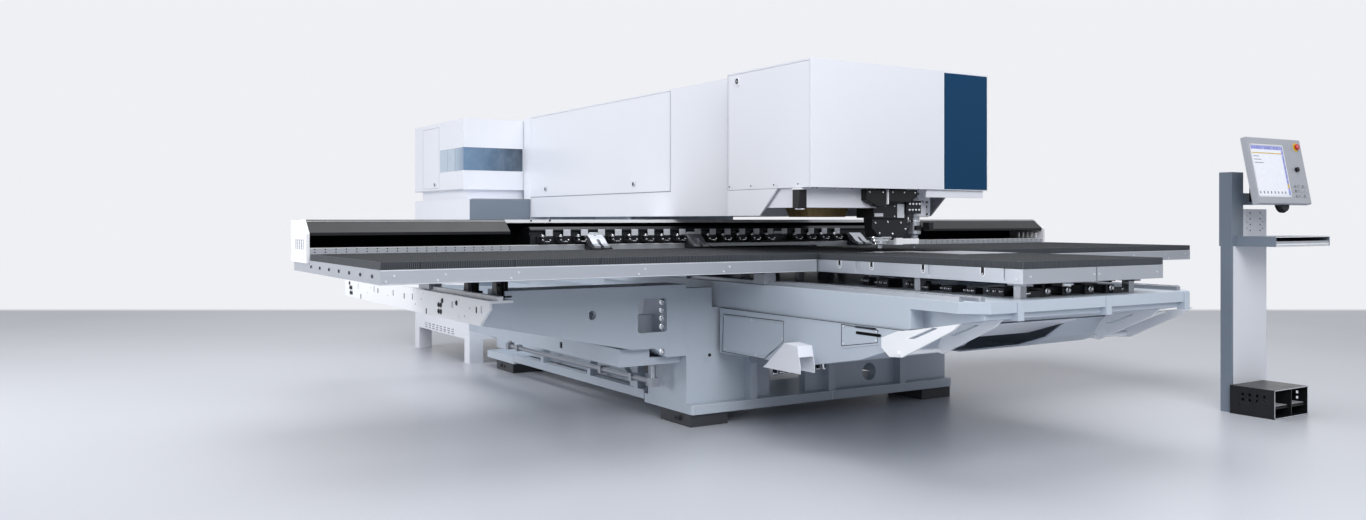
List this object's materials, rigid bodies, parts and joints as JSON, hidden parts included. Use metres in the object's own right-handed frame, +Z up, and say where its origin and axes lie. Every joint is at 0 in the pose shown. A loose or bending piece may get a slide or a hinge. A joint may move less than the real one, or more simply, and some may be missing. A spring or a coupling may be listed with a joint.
{
  "type": "punch-laser combination machine",
  "caption": "Sheet-metal punching and laser cutting machine with a hooded C-frame, travelling side tables, laser cabinet and operator console.",
  "frame": {"origin": "on the floor, in the middle of the bounding box", "axes": "+Z up; -Y is the operator side with the punching head; +X is the side of the console"},
  "size_m": [6.494, 7.24, 2.252],
  "materials": {
    "cast": "rough",
    "lower_paint": "satin",
    "upper_paint": "satin",
    "blue_paint": "satin",
    "dark_paint": "satin",
    "steel": "machined",
    "dark_steel": "blackened",
    "aluminium": "extruded",
    "brush": "bristles",
    "bronze": "satin",
    "rubber_grey": "satin",
    "tinted_glass": "tinted",
    "screen_glass": "gloss",
    "grey_plastic": "satin",
    "red_plastic": "gloss",
    "black_plastic": "ribbed"
  },
  "bodies": {
    "machine": {"levelling_feet": "cast", "base_plates": "lower_paint", "base_portal": "lower_paint", "base_frame": "lower_paint", "c_frame": "lower_paint", "outrigger_arms": "lower_paint", "rear_arms": "lower_paint", "outriggers": "lower_paint", "side_beams": "lower_paint", "floor_frames": "lower_paint", "water_pipe": "rubber_grey", "bed": "lower_paint", "bed_rails": "steel", "bed_covers": "lower_paint", "chutes": "lower_paint", "flap_brackets": "steel", "centre_table_frame": "aluminium", "table_posts": "steel", "centre_brushes": "brush", "lower_die": "steel", "support_rollers": "dark_steel", "punch_head": "dark_paint", "laser_bracket": "upper_paint", "head_skirt": "lower_paint", "drive_housing": "bronze", "head_hood": "upper_paint", "head_hood_blue": "blue_paint", "frame_cover": "upper_paint", "cabinet_lower": "lower_paint", "cabinet_upper": "upper_paint", "cabinet_window": "tinted_glass", "console_column": "upper_paint", "console_mast": "dark_paint", "console_tray": "upper_paint", "pedal_box": "dark_paint"},
    "y_axis": {"guide_base": "aluminium", "guide_beam": "aluminium", "guide_covers": "dark_paint", "side_table_frames": "aluminium", "side_brushes": "brush", "carriages": "steel"},
    "x_axis": {"transverse_rail": "steel", "tool_holders": "dark_steel", "clamp_bodies": "dark_steel"},
    "jaws": {"clamp_jaws": "steel"},
    "ram": {"punch_ram": "steel"},
    "laser": {"laser_head": "steel"},
    "flap": {"parts_flap": "steel"},
    "flap_panel_left": {"side_flap_left": "upper_paint"},
    "flap_panel_right": {"side_flap_right": "upper_paint"},
    "door_hood": {"hood_door": "upper_paint"},
    "door_cabinet": {"cabinet_door": "upper_paint"},
    "swivel": {"monitor_arm": "dark_paint"},
    "display": {"monitor": "grey_plastic", "screen": "screen_glass"},
    "stop_button": {"emergency_stop": "red_plastic"},
    "knob": {"selector_knob": "black_plastic"},
    "drawer": {"keyboard_drawer": "grey_plastic"},
    "tread_left": {"pedal_left": "black_plastic"},
    "tread_right": {"pedal_right": "black_plastic"}
  },
  "joints": [
    {"name": "y_travel", "type": "slide", "parent": "machine", "child": "y_axis", "axis": [0, 1, 0], "range_m": [-0.84, 0.4]},
    {"name": "x_travel", "type": "slide", "parent": "y_axis", "child": "x_axis", "axis": [1, 0, 0], "range_m": [-1.38, 1.5]},
    {"name": "clamp_open", "type": "hinge", "parent": "x_axis", "child": "jaws", "pos_m": [0, -0.6, 1.168], "axis": [1, 0, 0], "range_deg": [-12, 0]},
    {"name": "punch_stroke", "type": "slide", "parent": "machine", "child": "ram", "axis": [0, 0, 1], "range_m": [-0.04, 0]},
    {"name": "laser_lift", "type": "slide", "parent": "machine", "child": "laser", "axis": [0, 0, 1], "range_m": [0, 0.05]},
    {"name": "parts_flap_tip", "type": "hinge", "parent": "machine", "child": "flap", "pos_m": [0, -2.182, 1.038], "axis": [1, 0, 0], "range_deg": [0, 22]},
    {"name": "side_flap_left_lift", "type": "hinge", "parent": "machine", "child": "flap_panel_left", "pos_m": [-0.631, 0, 2.236], "axis": [0, 1, 0], "range_deg": [0, 80]},
    {"name": "side_flap_right_lift", "type": "hinge", "parent": "machine", "child": "flap_panel_right", "pos_m": [0.631, 0, 2.236], "axis": [0, 1, 0], "range_deg": [-80, 0]},
    {"name": "hood_door_swing", "type": "hinge", "parent": "machine", "child": "door_hood", "pos_m": [-0.741, -2.192, 0], "axis": [0, 0, 1], "range_deg": [0, 100]},
    {"name": "cabinet_door_swing", "type": "hinge", "parent": "machine", "child": "door_cabinet", "pos_m": [-1.222, 3.371, 0], "axis": [0, 0, 1], "range_deg": [-100, 0]},
    {"name": "monitor_swivel", "type": "hinge", "parent": "machine", "child": "swivel", "pos_m": [2.458, -3.014, 0], "axis": [0, 0, 1], "range_deg": [-35, 35]},
    {"name": "monitor_tilt", "type": "hinge", "parent": "swivel", "child": "display", "pos_m": [2.458, -3.1, 1.56], "axis": [1, 0, 0], "range_deg": [-8, 15]},
    {"name": "stop_press", "type": "slide", "parent": "display", "child": "stop_button", "axis": [0, -0.9816, 0.1908], "range_m": [-0.006, 0]},
    {"name": "knob_turn", "type": "hinge", "parent": "display", "child": "knob", "pos_m": [2.658, -3.18671, 1.63798], "axis": [0, -0.9816, 0.1908], "range_deg": [-60, 60]},
    {"name": "drawer_pull", "type": "slide", "parent": "machine", "child": "drawer", "axis": [0, -1, 0], "range_m": [0, 0.2]},
    {"name": "pedal_left_press", "type": "hinge", "parent": "machine", "child": "tread_left", "pos_m": [0, -3.04, 0.064], "axis": [1, 0, 0], "range_deg": [0, 12], "stiffness_Nm_per_rad": 30, "springref_deg": -20.05},
    {"name": "pedal_right_press", "type": "hinge", "parent": "machine", "child": "tread_right", "pos_m": [0, -3.04, 0.064], "axis": [1, 0, 0], "range_deg": [0, 12], "stiffness_Nm_per_rad": 30, "springref_deg": -20.05}
  ]
}
